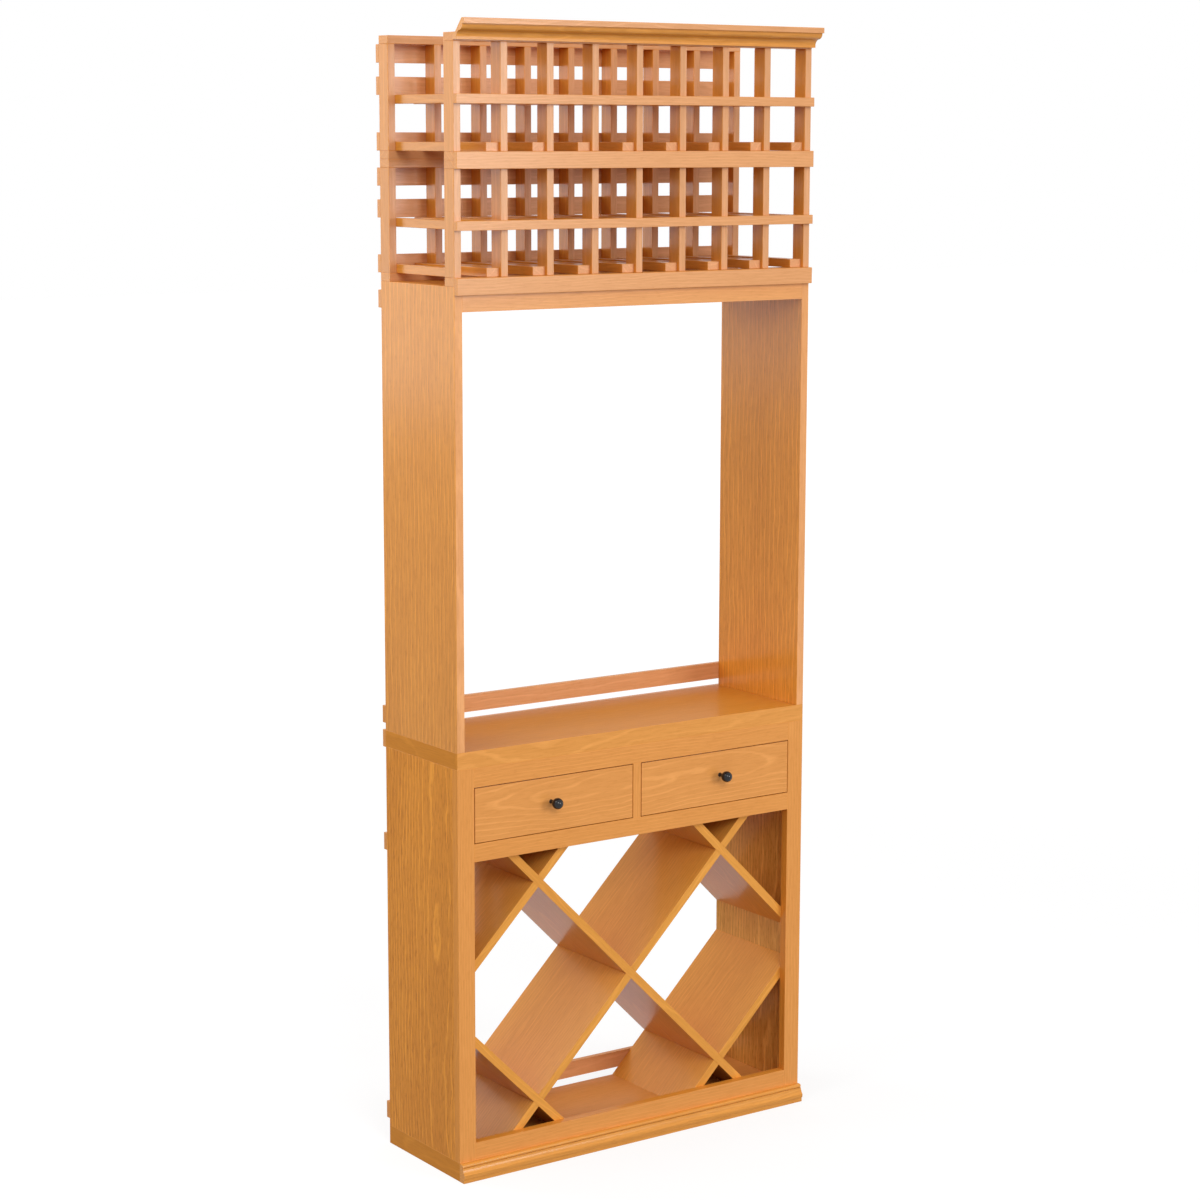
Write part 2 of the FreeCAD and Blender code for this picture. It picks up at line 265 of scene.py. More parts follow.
@dataclass(frozen=True)
class WoodFinish:
    """Lacquered wood, worked out as a solid from rings round a wandering pith, mottle, fibres and pores.

    A board's own coordinates run along, across and through it. A slow noise bends the pith's line, the ring
    count is the distance from it over the ring spacing, and each ring ends in a thin pale line. Noise drawn
    out along the board gives streaks, flecks and fibres, and the finest noise gives short dark pores.
    Every board has its own seed, which shifts all of this and makes it a little lighter or darker.
    One face of a board may take a second base colour, which paints light onto it: a paler, pinker painted
    sheen on most such faces, a darker painted shade on the counter's top. Edge bands take it too.

    The shares say how far each layer moves the shade, which runs from the pale tone at 0 to the dark tone
    at 1, and the figure scales them all.
    """

    name: str
    figure: float = 1.0
    seed_shift: tuple[float, float, float] = (37.7, 11.3, 5.9)
    seed_steps: tuple[float, float] = (7.7, 3.3)
    base: Colour = (0.69, 0.285, 0.058)
    pale_gain: Colour = (1.28, 1.42, 1.80)
    dark_gain: Colour = (0.70, 0.62, 0.44)
    heart: tuple[float, float] = (-0.09, 0.09)
    depth: tuple[float, float] = (0.045, 0.085)
    ring_spacing: float = 14.0 * MM
    wander: float = 0.055
    wander_per_metre: tuple[float, float, float] = (2.0, 5.0, 5.0)
    ripple: float = 0.28
    ripple_per_metre: tuple[float, float, float] = (16.0, 50.0, 50.0)
    line_range: tuple[float, float] = (0.64, 0.92)
    line_share: float = 0.50
    line_middle: float = 0.18
    breaks_per_metre: tuple[float, float, float] = (9.0, 30.0, 30.0)
    breaks_range: tuple[float, float, float, float] = (0.34, 0.60, 0.4, 1.0)
    between_range: tuple[float, float, float, float] = (0.10, 0.55, 1.0, 0.0)
    between_share: float = 0.12
    between_middle: float = 0.35
    flecks: GrainLayer = GrainLayer((62.0, 300.0, 300.0), 0.55, 0.72, middle=0.25)
    fleck_share: float = 0.22
    streaks: GrainLayer = GrainLayer((24.0, 330.0, 330.0), 0.40, 0.66, middle=0.42)
    streak_share: float = 0.26
    fibre_per_metre: tuple[float, float, float] = (8.0, 260.0, 260.0)
    fibre_detail: float = 3.0
    fibre_roughness: float = 0.65
    fibre_middle: float = 0.5
    fibre_share: float = 0.30
    pores: GrainLayer = GrainLayer((80.0, 1500.0, 1500.0), 0.58, 0.74, middle=0.3)
    pore_share: float = 0.12
    tone: GrainLayer = GrainLayer((1.3, 8.0, 8.0), 0.28, 0.72, middle=0.5, detail=2.0)
    tone_share: float = 0.14
    board_share: float = 0.10
    # The marked face's base colour paints light on it: paler and pinker for a painted sheen, darker for a
    # painted shade.
    painted_light_base: Colour | None = None
    painted_light_contrast: float = 1.0
    wear_width: tuple[float, float] = (0.1 * MM, 1.3 * MM)
    wear_range: tuple[float, float, float, float] = (0.3, 0.8, 0.3, 1.0)
    wear_share: float = 0.35
    roughness: float = 0.40
    roughness_swing: float = 0.12
    pore_rise: float = -0.6
    fibre_rise: float = 0.5
    bump: float = 0.08
    bump_height: float = 0.3 * MM
    specular: float = 0.03
    coat: float = 0.42
    coat_roughness: float = 0.20

    def pith(self, s: Shader, seed: Socket) -> Socket:
        """Work out where the board's pith lies, from its seed.

        Args:
            s: The material being built.
            seed: The board's seed.

        Returns:
            The pith's place across and through the board.
        """
        places = []
        for step, (low, high) in zip(self.seed_steps, (self.heart, self.depth)):
            share = s.math("FRACT", s.math("MULTIPLY", seed, step))
            places.append(s.math("MULTIPLY_ADD", share, high - low, low))
        return s.node("CombineXYZ", X=0.0, Y=places[0], Z=places[1]).outputs[0]

    def rings(self, s: Shader, place: Socket, local: Socket, seed: Socket) -> tuple[Socket, Socket]:
        """Work out the rings.

        Args:
            s: The material being built.
            place: The place in the board, shifted by its seed.
            local: The place in the board.
            seed: The board's seed.

        Returns:
            The pale lines and the wood between them, both from 0 to 1.
        """
        bend = s.vector("SUBTRACT", s.noise(place, self.wander_per_metre, colour=True), (0.5, 0.5, 0.5))
        bend = s.vector("MULTIPLY", bend, (0.0, self.wander, self.wander))
        across = s.vector("SUBTRACT", s.vector("ADD", local, bend), self.pith(s, seed))
        across = s.vector("MULTIPLY", across, (0.0, 1.0, 1.0))
        count = s.math("DIVIDE", s.vector("LENGTH", across), self.ring_spacing)
        count = s.math("MULTIPLY_ADD", s.noise(place, self.ripple_per_metre), self.ripple * 2, count)
        phase = s.math("FRACT", count)
        near = s.math("ABSOLUTE", s.math("MULTIPLY_ADD", phase, 2.0, -1.0))
        broken = s.range(s.noise(place, self.breaks_per_metre, 1.0), *self.breaks_range)
        lines = s.math("MULTIPLY", s.range(near, *self.line_range), broken)
        return lines, s.range(phase, *self.between_range)

    def shaded(self, s: Shader, shade: Socket, base: Colour) -> tuple[Socket, Colour]:
        """Shade a base colour.

        Args:
            s: The material being built.
            shade: The shade, from 0 for the pale tone to 1 for the dark one.
            base: The base colour.

        Returns:
            The shaded colour and the pale tone.
        """
        pale = tuple(min(1.0, value * gain) for value, gain in zip(base, self.pale_gain))
        dark = tuple(value * gain for value, gain in zip(base, self.dark_gain))
        return s.mix(shade, pale, dark), pale

    def worn(self, s: Shader, local: Socket, tone: Socket) -> Socket:
        """Work out how worn the board is: most within a millimetre of its arrises, where the tone is dark.

        Args:
            s: The material being built.
            local: The place in the board.
            tone: The board's slow change of tone.

        Returns:
            The wear, from 0 to 1.
        """
        ends = s.vector("SUBTRACT", s.attribute("board_half"), s.vector("ABSOLUTE", local))
        split = s.node("SeparateXYZ", Vector=ends)
        low_pair = s.math("MINIMUM", split.outputs[0], split.outputs[1])
        high_pair = s.math("MAXIMUM", split.outputs[0], split.outputs[1])
        arris = s.math("MAXIMUM", low_pair, s.math("MINIMUM", high_pair, split.outputs[2]))
        return s.math("MULTIPLY", s.range(arris, *self.wear_width, 1.0, 0.0), s.range(tone, *self.wear_range))

    def material(self) -> bpy.types.Material:
        """Build the finish.

        Returns:
            The finished material.
        """
        s = Shader(self.name)
        local = s.attribute("board_place")
        seed = s.attribute("board_seed", scalar=True)
        shift = [s.math("MULTIPLY", seed, step) for step in self.seed_shift]
        shift = s.node("CombineXYZ", X=shift[0], Y=shift[1], Z=shift[2]).outputs[0]
        place = s.vector("ADD", local, shift)
        lines, between = self.rings(s, place, local, seed)
        flecks, streaks, pores, tone = (layer.value(s, place)
                                        for layer in (self.flecks, self.streaks, self.pores, self.tone))
        fibre = s.noise(place, self.fibre_per_metre, self.fibre_detail, self.fibre_roughness)
        shade = 0.5
        for share, value, middle in ((-self.line_share, lines, self.line_middle),
                                     (self.between_share, between, self.between_middle),
                                     (self.fleck_share, flecks, self.flecks.middle),
                                     (self.streak_share, streaks, self.streaks.middle),
                                     (self.fibre_share, fibre, self.fibre_middle),
                                     (self.tone_share, tone, self.tone.middle),
                                     (self.pore_share, pores, self.pores.middle)):
            shade = s.math("MULTIPLY_ADD", s.math("SUBTRACT", value, middle), share * self.figure, shade)
        shade = s.math("MULTIPLY_ADD", s.math("SUBTRACT", seed, 0.5), self.board_share, shade, clamp=True)
        colour, pale = self.shaded(s, shade, self.base)
        # The marked face takes the painted-light base: painted sheen on most, painted shade on the counter's
        # top.
        if self.painted_light_base:
            calm = s.math("MULTIPLY_ADD", s.math("SUBTRACT", shade, 0.5), self.painted_light_contrast, 0.5)
            painted_light_face, pale = self.shaded(s, calm, self.painted_light_base)
            colour = s.mix(s.attribute("board_painted_light", scalar=True), colour, painted_light_face)
        colour = s.mix(s.math("MULTIPLY", self.worn(s, local, tone), self.wear_share), colour, pale)
        rough = s.math("MULTIPLY_ADD", fibre, self.roughness_swing, self.roughness - self.roughness_swing / 2)
        height = s.math("MULTIPLY_ADD", pores, self.pore_rise, s.math("MULTIPLY", fibre, self.fibre_rise))
        bump = s.node("Bump", Strength=self.bump, Distance=self.bump_height, Height=height)
        surface = s.node("BsdfPrincipled", Base_Color=colour, Roughness=rough, Normal=bump.outputs[0])
        surface.inputs["Specular IOR Level"].default_value = self.specular
        surface.inputs["Coat Weight"].default_value = self.coat
        surface.inputs["Coat Roughness"].default_value = self.coat_roughness
        return s.finish(surface)


@dataclass(frozen=True)
class KnobFinish:
    """Gloss black lacquer with faint orange peel and a haze that varies its gloss."""

    name: str = "knob_black_gloss"
    colour: Colour = (0.004, 0.004, 0.005)
    haze_gain: float = 2.2
    haze_per_metre: tuple[float, float, float] = (90.0, 90.0, 90.0)
    peel_per_metre: tuple[float, float, float] = (420.0, 420.0, 420.0)
    peel: float = 0.06
    peel_height: float = 0.2 * MM
    roughness: float = 0.09
    roughness_swing: float = 0.06
    specular: float = 0.34
    coat: float = 0.08
    coat_roughness: float = 0.06

    def material(self) -> bpy.types.Material:
        """Build the finish.

        Returns:
            The finished material.
        """
        s = Shader(self.name)
        place = s.node("TexCoord").outputs["Object"]
        peel = s.noise(place, self.peel_per_metre)
        haze = s.noise(place, self.haze_per_metre, 3.0)
        colour = s.mix(haze, self.colour, tuple(value * self.haze_gain for value in self.colour))
        bump = s.node("Bump", Strength=self.peel, Distance=self.peel_height, Height=peel)
        rough = s.math("MULTIPLY_ADD", haze, self.roughness_swing, self.roughness)
        surface = s.node("BsdfPrincipled", Base_Color=colour, Roughness=rough, Normal=bump.outputs[0])
        surface.inputs["Specular IOR Level"].default_value = self.specular
        surface.inputs["Coat Weight"].default_value = self.coat
        surface.inputs["Coat Roughness"].default_value = self.coat_roughness
        return s.finish(surface)


@dataclass(frozen=True)
class ZincFinish:
    """Zinc-plated steel: rolled streaks along the length and a faint spangle."""

    name: str = "zinc_plated_steel"
    colour: Colour = (0.58, 0.59, 0.61)
    spangle_gain: float = 0.80
    spangle_per_metre: tuple[float, float, float] = (160.0, 160.0, 160.0)
    rolled_per_metre: tuple[float, float, float] = (900.0, 12.0, 900.0)
    rolled: float = 0.05
    rolled_height: float = 0.1 * MM
    roughness: float = 0.26
    roughness_swing: float = 0.16

    def material(self) -> bpy.types.Material:
        """Build the finish.

        Returns:
            The finished material.
        """
        s = Shader(self.name)
        place = s.node("TexCoord").outputs["Object"]
        rolled = s.noise(place, self.rolled_per_metre, 3.0)
        spangle = s.noise(place, self.spangle_per_metre)
        colour = s.mix(spangle, self.colour, tuple(value * self.spangle_gain for value in self.colour))
        bump = s.node("Bump", Strength=self.rolled, Distance=self.rolled_height, Height=rolled)
        rough = s.math("MULTIPLY_ADD", rolled, self.roughness_swing, self.roughness)
        surface = s.node("BsdfPrincipled", Base_Color=colour, Roughness=rough, Normal=bump.outputs[0])
        surface.inputs["Metallic"].default_value = 1.0
        return s.finish(surface)


class Finishes:
    """Every finish of the station, built once."""

    def __init__(self) -> None:
        """Build the finishes."""
        # The rack's front faces take a paler, pinker base for a painted sheen; the darker golden base of its
        # other faces is partly painted shade inside the rack.
        self.rack = WoodFinish("rack_wood_satin", figure=0.32, base=(0.665, 0.246, 0.032), board_share=0.12,
                               painted_light_base=(0.664, 0.308, 0.122), coat=0.50).material()
        # The rails' front faces take a paler, pinker base for a painted sheen.
        self.rail = WoodFinish("rail_wood_satin", figure=0.32, base=(0.665, 0.246, 0.032), board_share=0.08,
                               heart=(0.10, 0.15), ring_spacing=6 * MM, painted_light_base=(0.700, 0.312, 0.110),
                               coat=0.50).material()
        # The header's base is paler and bluer than the golden wood: partly painted sheen.
        self.trim = WoodFinish("trim_wood_satin", figure=0.36, base=(0.740, 0.310, 0.086), board_share=0.04,
                               heart=(0.10, 0.15), ring_spacing=6 * MM, coat=0.75).material()
        # The crown's front face takes a paler, pinker base for a painted sheen.
        self.moulding = WoodFinish("moulding_wood_satin", figure=0.42, base=(0.695, 0.276, 0.042),
                                   board_share=0.04, heart=(0.10, 0.15), ring_spacing=6 * MM,
                                   painted_light_base=(0.670, 0.300, 0.108), coat=0.50).material()
        # The front faces of stiles and rails take a paler, pinker base for a painted sheen.
        self.front = WoodFinish("front_wood_satin", figure=0.34, base=(0.700, 0.255, 0.030), board_share=0.04,
                                heart=(0.10, 0.15), ring_spacing=6 * MM, wander=0.03,
                                painted_light_base=(0.725, 0.290, 0.064), coat=0.28).material()
        self.drawer = WoodFinish("drawer_front_wood_satin", figure=0.31, base=(0.725, 0.296, 0.070),
                                 board_share=0.04, heart=(0.015, 0.04), ring_spacing=7 * MM, line_share=0.70,
                                 coat=0.28).material()
        # The niche sides' front edges take a paler, pinker base for a painted sheen, with half the figure.
        self.side = WoodFinish("niche_side_wood_satin", figure=0.8, base=(0.680, 0.250, 0.028),
                               heart=(0.19, 0.21), wander=0.040, ripple=0.4, painted_light_base=(0.745, 0.326, 0.108),
                               painted_light_contrast=0.5, coat=0.45).material()
        # The base sides' inner faces take a paler, pinker base for a painted sheen.
        self.panel = WoodFinish("base_side_wood_satin", figure=1.1, base=(0.690, 0.246, 0.022),
                                heart=(-0.09, -0.07), line_share=0.46, between_share=0.06, fleck_share=0.26,
                                streak_share=0.24, fibre_share=0.26, ring_spacing=9 * MM, ripple=0.4,
                                painted_light_base=(0.700, 0.335, 0.066), coat=0.22).material()
        # The counter's top takes the darker second base, a painted shade; the edge bands take it too.
        self.slab = WoodFinish("counter_wood_satin", figure=0.34, base=(0.725, 0.300, 0.066),
                               board_share=0.04, heart=(0.10, 0.15), ring_spacing=6 * MM,
                               painted_light_base=(0.620, 0.226, 0.024), coat=0.10).material()
        self.inner = WoodFinish("inner_wood_satin", figure=0.38, base=(0.740, 0.306, 0.046),
                                ring_spacing=8 * MM, coat=0.36).material()
        self.box = WoodFinish("drawer_box_wood", figure=0.8, base=(0.80, 0.52, 0.25),
                              pale_gain=(1.1, 1.12, 1.2), dark_gain=(0.86, 0.82, 0.76), roughness=0.50,
                              coat=0.0).material()
        self.knob = KnobFinish().material()
        self.zinc = ZincFinish().material()


@dataclass
class Surface:
    """The faces of one piece, gathered board by board, with each face corner's place in its own board."""

    points: list[Array] = field(default_factory=list)
    faces: list[list[int]] = field(default_factory=list)
    places: list[Array] = field(default_factory=list)
    halves: list[Array] = field(default_factory=list)
    seeds: list[Array] = field(default_factory=list)
    painted_light_marks: list[Array] = field(default_factory=list)
    size: int = 0

    def add(self, points: Array, faces: list[list[int]], axes: Array, banded: int = 0,
            painted_light_face: Direction | None = None) -> None:
        """Add one board or solid.

        Args:
            points: Its corners, one row each.
            faces: Its faces as lists of rows.
            axes: Its own axes as the rows of a matrix, the first along its fibres.
            banded: How many of the last faces are edge bands, which take the second base colour and have
                their fibres across the board.
            painted_light_face: Direction of the one face that takes the finish's second base colour, which is
                painted light on that face.
        """
        own = points @ axes.T
        own -= (own.min(0) + own.max(0)) / 2
        half = own.max(0)
        order = [0, 1, 2] if half[1] >= half[2] else [0, 2, 1]
        corners = np.concatenate([np.asarray(face) for face in faces])
        places = own[corners][:, order]
        halves = np.tile(half[order], (len(corners), 1))
        # Mark the one face that takes the painted-light base; edge bands take it too.
        reach = points @ np.array(painted_light_face or (0.0, 0.0, 0.0))
        level = np.repeat([reach[face].min() for face in faces], [len(face) for face in faces])
        self.painted_light_marks.append((level > reach.max() - MERGED_WITHIN / 2) * float(painted_light_face is not None))
        if banded:
            last = sum(len(face) for face in faces[-banded:])
            places[-last:] = places[-last:][:, (1, 0, 2)]
            halves[-last:] = halves[-last:][:, (1, 0, 2)]
            self.painted_light_marks[-1][-last:] = 1.0
        self.points.append(points)
        self.faces.extend([index + self.size for index in face] for face in faces)
        self.places.append(places)
        self.halves.append(halves)
        self.seeds.append(np.full(len(corners), DICE.random()))
        self.size += len(points)

    def make(self, name: str, material: bpy.types.Material, smooth_below: float = 0.0) -> bpy.types.Object:
        """Make the piece's object.

        Args:
            name: The object's name.
            material: Its finish.
            smooth_below: Angle in degrees up to which neighbouring faces are shaded as one, or 0 for none.

        Returns:
            The object, linked to the scene.
        """
        mesh = bpy.data.meshes.new(name)
        mesh.from_pydata(np.concatenate(self.points), [], self.faces)
        put_attributes(mesh, np.concatenate(self.places), np.concatenate(self.halves),
                       np.concatenate(self.seeds))
        layer = mesh.attributes.new("board_painted_light", "FLOAT", "CORNER")
        layer.data.foreach_set("value", np.concatenate(self.painted_light_marks).astype(np.float32))
        if smooth_below:
            mesh.polygons.foreach_set("use_smooth", np.ones(len(mesh.polygons), bool))
            mesh.set_sharp_from_angle(angle=math.radians(smooth_below))
        mesh.update()
        return link(name, mesh, material)


def put_attributes(mesh: bpy.types.Mesh, places: Array, halves: Array, seeds: Array) -> None:
    """Write what the wood finishes read into a mesh, one value for each face corner.

    Args:
        mesh: The mesh.
        places: The corners' places in their boards.
        halves: Their boards' half sizes.
        seeds: Their boards' seeds.
    """
    for name, values in (("board_place", places), ("board_half", halves)):
        layer = mesh.attributes.new(name, "FLOAT_VECTOR", "CORNER")
        layer.data.foreach_set("vector", np.asarray(values, np.float32).ravel())
    layer = mesh.attributes.new("board_seed", "FLOAT", "CORNER")
    layer.data.foreach_set("value", np.asarray(seeds, np.float32))


def link(name: str, mesh: bpy.types.Mesh, material: bpy.types.Material) -> bpy.types.Object:
    """Put a mesh with one finish into the scene.

    Args:
        name: The new object's name.
        mesh: Its mesh.
        material: Its finish.

    Returns:
        The object.
    """
    mesh.materials.append(material)
    made = bpy.data.objects.new(name, mesh)
    bpy.context.scene.collection.objects.link(made)
    return made


def stand_for(piece: bpy.types.Object, node: str) -> bpy.types.Object:
    """Let a piece stand for a node: it rides on the same body and hides the node.

    Args:
        piece: The piece.
        node: The node's name.

    Returns:
        The piece.
    """
    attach(piece, frame["nodes"][node]["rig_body"])
    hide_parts(node)
    LOG.info("%s stands for %s with %d faces", piece.name, node, len(piece.data.polygons))
    return piece


def connected(count: int, edges: Array) -> Array:
    """Label the points of a mesh by the solid that they belong to.

    Each point starts with its own number, and the lower number of an edge's ends spreads to both until
    nothing changes.

    Args:
        count: Number of points.
        edges: Rows of two point numbers.

    Returns:
        One label per point.
    """
    labels = np.arange(count)
    while True:
        lower = np.minimum(labels[edges[:, 0]], labels[edges[:, 1]])
        spread = labels.copy()
        np.minimum.at(spread, edges[:, 0], lower)
        np.minimum.at(spread, edges[:, 1], lower)
        if np.array_equal(spread, labels):
            return labels
        labels = spread


def solid_boxes(node: str) -> list[tuple[Array, Array]]:
    """Find the box of each separate solid in a node.

    Args:
        node: The node's name.

    Returns:
        Each solid's lowest and highest corner, sorted by height, then from left to right.
    """
    mesh = frame["nodes"][node].data
    co = np.empty(len(mesh.vertices) * 3, np.float32)
    mesh.vertices.foreach_get("co", co)
    edges = np.empty(len(mesh.edges) * 2, np.int32)
    mesh.edges.foreach_get("vertices", edges)
    merged, back = np.unique(np.round(co.reshape(-1, 3), 5), axis=0, return_inverse=True)
    labels = connected(len(merged), back.ravel()[edges.reshape(-1, 2)])
    groups = [merged[labels == label] for label in np.unique(labels)]
    boxes = [(group.min(0).astype(float), group.max(0).astype(float)) for group in groups]
    return sorted(boxes, key=lambda pair: tuple(round(pair[0][axis], 4) for axis in (2, 0, 1)))


def rounded_rectangle(half_u: float, half_v: float, radius: float, rounds: int) -> Array:
    """Work out a rectangle with rounded corners: a quarter circle about each corner's own centre.

    Args:
        half_u: Half its width.
        half_v: Half its height.
        radius: Radius of its corners.
        rounds: Steps in each corner.

    Returns:
        The corners' points, anticlockwise, rounds + 1 for each.
    """
    quarter = np.repeat(np.arange(4), rounds + 1)
    turn = (quarter + np.tile(np.linspace(0.0, 1.0, rounds + 1), 4)) * math.pi / 2
    centre_u = (half_u - radius) * np.array((1, -1, -1, 1))[quarter]
    centre_v = (half_v - radius) * np.array((1, 1, -1, -1))[quarter]
    return np.stack((centre_u + radius * np.cos(turn), centre_v + radius * np.sin(turn)), axis=1)


def tube_faces(rings: int, around: int) -> list[list[int]]:
    """Join rings of points one after another and close both ends.

    Args:
        rings: Number of rings.
        around: Points in each ring.

    Returns:
        The faces, the two end faces last.
    """
    ring = np.arange(rings - 1)[:, None] * around
    here = np.arange(around)[None, :]
    after = (here + 1) % around
    quads = np.stack((ring + here, ring + after, ring + around + after, ring + around + here), axis=-1)
    last = (rings - 1) * around
    return quads.reshape(-1, 4).tolist() + [list(range(around))[::-1], list(range(last, last + around))]


def eased_board(low: Array, high: Array, grain: Grain, ease: float,
                rounds: int) -> tuple[Array, list[list[int]]]:
    """Work out a board with eased arrises.

    A rectangle with rounded corners is carried along the fibres. Near each end the rectangle shrinks by the
    same quarter circle that rounds its corners, so all twelve arrises are alike.

    Args:
        low: Its lowest corner.
        high: Its highest corner.
        grain: The direction of its fibres, one of the three main ones.
        ease: Radius of the arrises.
        rounds: Steps in each quarter circle.

    Returns:
        The points and the faces.
    """
    order = [int(np.argmax(np.abs(axis))) for axis in grain.axes()]
    centre, half = (low + high) / 2, (high - low) / 2
    turn = np.linspace(0.0, math.pi / 2, rounds + 1)
    inset = ease * (1 - np.sin(turn))
    step = half[order[0]] - ease * (1 - np.cos(turn))
    along = np.concatenate((-step, step[::-1]))
    shrink = np.concatenate((inset, inset[::-1]))
    rings = []
    for place, less in zip(along, shrink):
        radius = max(ease - less, ease / 4)
        outline = rounded_rectangle(half[order[1]] - less, half[order[2]] - less, radius, rounds)
        rings.append(np.column_stack((np.full(len(outline), place), outline)))
    own = np.concatenate(rings)
    points = np.empty_like(own)
    points[:, order] = own
    return points + centre, tube_faces(len(rings), 4 * (rounds + 1))


def boards(node: str, grain: Grain, material: bpy.types.Material, ease: float = 0.5 * MM,
           rounds: int = 2, banded: bool = False,
           painted_light_face: Direction | None = None) -> bpy.types.Object:
    """Dress a node of straight boards: every solid in it becomes an eased board with its own figure.

    Args:
        node: The node's name.
        grain: The direction of the fibres.
        material: The finish.
        ease: Radius of the arrises.
        rounds: Steps in each arris.
        banded: Whether the ends carry edge bands.
        painted_light_face: Direction of the one face that takes the finish's second base colour, which is
            painted light on that face.

    Returns:
        The piece.
    """
    surface = Surface()
    for low, high in solid_boxes(node):
        points, faces = eased_board(low, high, grain, ease, rounds)
        surface.add(points, faces, grain.axes(), 2 * banded, painted_light_face)
    return stand_for(surface.make(f"{node}_boards", material), node)


def eased_copy(node: str, grain: Grain, material: bpy.types.Material,
               ease: float = 0.5 * MM) -> bpy.types.Object:
    """Dress a node whose boards are notched, grooved or bored: a merged copy of it with eased arrises.

    Args:
        node: The node's name.
        grain: The direction of the fibres.
        material: The finish.
        ease: Width of the arrises.

    Returns:
        The piece.
    """
    mesh = bpy.data.meshes.new(f"{node}_boards")
    work = bmesh.new()
    work.from_mesh(frame["nodes"][node].data)
    bmesh.ops.remove_doubles(work, verts=work.verts, dist=MERGED_WITHIN)
    bmesh.ops.dissolve_limit(work, angle_limit=FLAT_WITHIN, verts=work.verts, edges=work.edges)
    work.to_mesh(mesh)
    work.free()
    mesh.materials.clear()
    co = np.empty(len(mesh.vertices) * 3, np.float32)
    mesh.vertices.foreach_get("co", co)
    edges = np.empty(len(mesh.edges) * 2, np.int32)
    mesh.edges.foreach_get("vertices", edges)
    own = co.reshape(-1, 3) @ grain.axes().T
    labels = connected(len(own), edges.reshape(-1, 2))
    places, halves, seeds = np.empty_like(own), np.empty_like(own), np.empty(len(own))
    for label in np.unique(labels):
        mine = labels == label
        low, high = own[mine].min(0), own[mine].max(0)
        order = [0, 1, 2] if high[1] - low[1] >= high[2] - low[2] else [0, 2, 1]
        places[mine] = (own[mine] - (low + high) / 2)[:, order]
        halves[mine] = ((high - low) / 2)[order]
        seeds[mine] = DICE.random()
    corners = np.empty(len(mesh.loops), np.int32)
    mesh.loops.foreach_get("vertex_index", corners)
    put_attributes(mesh, places[corners], halves[corners], seeds[corners])
    mesh.polygons.foreach_set("use_smooth", np.zeros(len(mesh.polygons), bool))
    piece = link(f"{node}_boards", mesh, material)
    bevel = piece.modifiers.new("eased_arrises", "BEVEL")
    bevel.width = ease
    bevel.segments = 2
    bevel.limit_method = "ANGLE"
    bevel.angle_limit = ARRIS_FROM
    return stand_for(piece, node)


def arc_points(start: tuple[float, float], end: tuple[float, float], bulge: float,
               steps: int = 12) -> Array:
    """Work out an arc: the circle through two points that stands off their chord by the bulge.

    The centre lies on the chord's middle normal, at the radius that the chord and the bulge give.

    Args:
        start: Where it starts.
        end: Where it ends.
        bulge: How far it stands off at mid-length, to the right of the way from start to end if positive.
        steps: Number of steps.

    Returns:
        The points after the start, so that arcs and straight lines can follow each other.
    """
    first, last = np.array(start), np.array(end)
    chord = last - first
    length = float(np.hypot(*chord))
    normal = np.array((chord[1], -chord[0])) / length
    radius = (length ** 2 / 4 + bulge ** 2) / (2 * abs(bulge))
    centre = (first + last) / 2 + normal * (bulge - math.copysign(radius, bulge))
    begin = math.atan2(*(first - centre)[::-1])
    turn = (math.atan2(*(last - centre)[::-1]) - begin + math.pi) % (2 * math.pi) - math.pi
    angles = begin + turn * np.linspace(0.0, 1.0, steps + 1)[1:]
    return centre + radius * np.stack((np.cos(angles), np.sin(angles)), axis=1)


def moulding(node: str, outline: Array, material: bpy.types.Material,
             painted_light_face: Direction | None = None) -> bpy.types.Object:
    """Dress a moulding: its outline in the YZ plane is carried along X from end to end of the node.

    Args:
        node: The node's name.
        outline: The outline's points, anticlockwise as seen against X.
        material: The finish.
        painted_light_face: Direction of the one face that takes the finish's second base colour, which is
            painted light on that face.

    Returns:
        The piece.
    """
    low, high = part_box(node)
    rings = [np.column_stack((np.full(len(outline), x), outline)) for x in (low.x, high.x)]
    surface = Surface()
    surface.add(np.concatenate(rings), tube_faces(2, len(outline)), Grain.X.axes(), painted_light_face=painted_light_face)
    return stand_for(surface.make(f"{node}_run", material, smooth_below=28.0), node)


def lathe(profile: Array, centre: Array, segments: int = 48) -> tuple[Array, list[list[int]]]:
    """Turn a profile about an axis along Y.

    A point of the profile is a radius and a place on the axis. It goes round in equal steps, and the first
    and last points lie on the axis, where the surface closes in a pole.

    Args:
        profile: Rows of radius and place.
        centre: The axis's point at place zero.
        segments: Steps round the axis.

    Returns:
        The points and the faces.
    """
    angle = np.arange(segments) * 2 * math.pi / segments
    middle = profile[1:-1]
    rings = np.stack((np.outer(middle[:, 0], np.sin(angle)), np.repeat(middle[:, 1:], segments, axis=1),
                      np.outer(middle[:, 0], np.cos(angle))), axis=-1).reshape(-1, 3)
    poles = np.array(((0.0, profile[0, 1], 0.0), (0.0, profile[-1, 1], 0.0)))
    faces = tube_faces(len(middle), segments)[:-2]
    here = np.arange(segments)
    after = (here + 1) % segments
    first, last = len(rings), len(rings) + 1
    top = (len(middle) - 1) * segments
    faces += np.stack((np.full(segments, first), after, here), axis=1).tolist()
    faces += np.stack((np.full(segments, last), top + here, top + after), axis=1).tolist()
    return np.concatenate((rings, poles)) + centre, faces


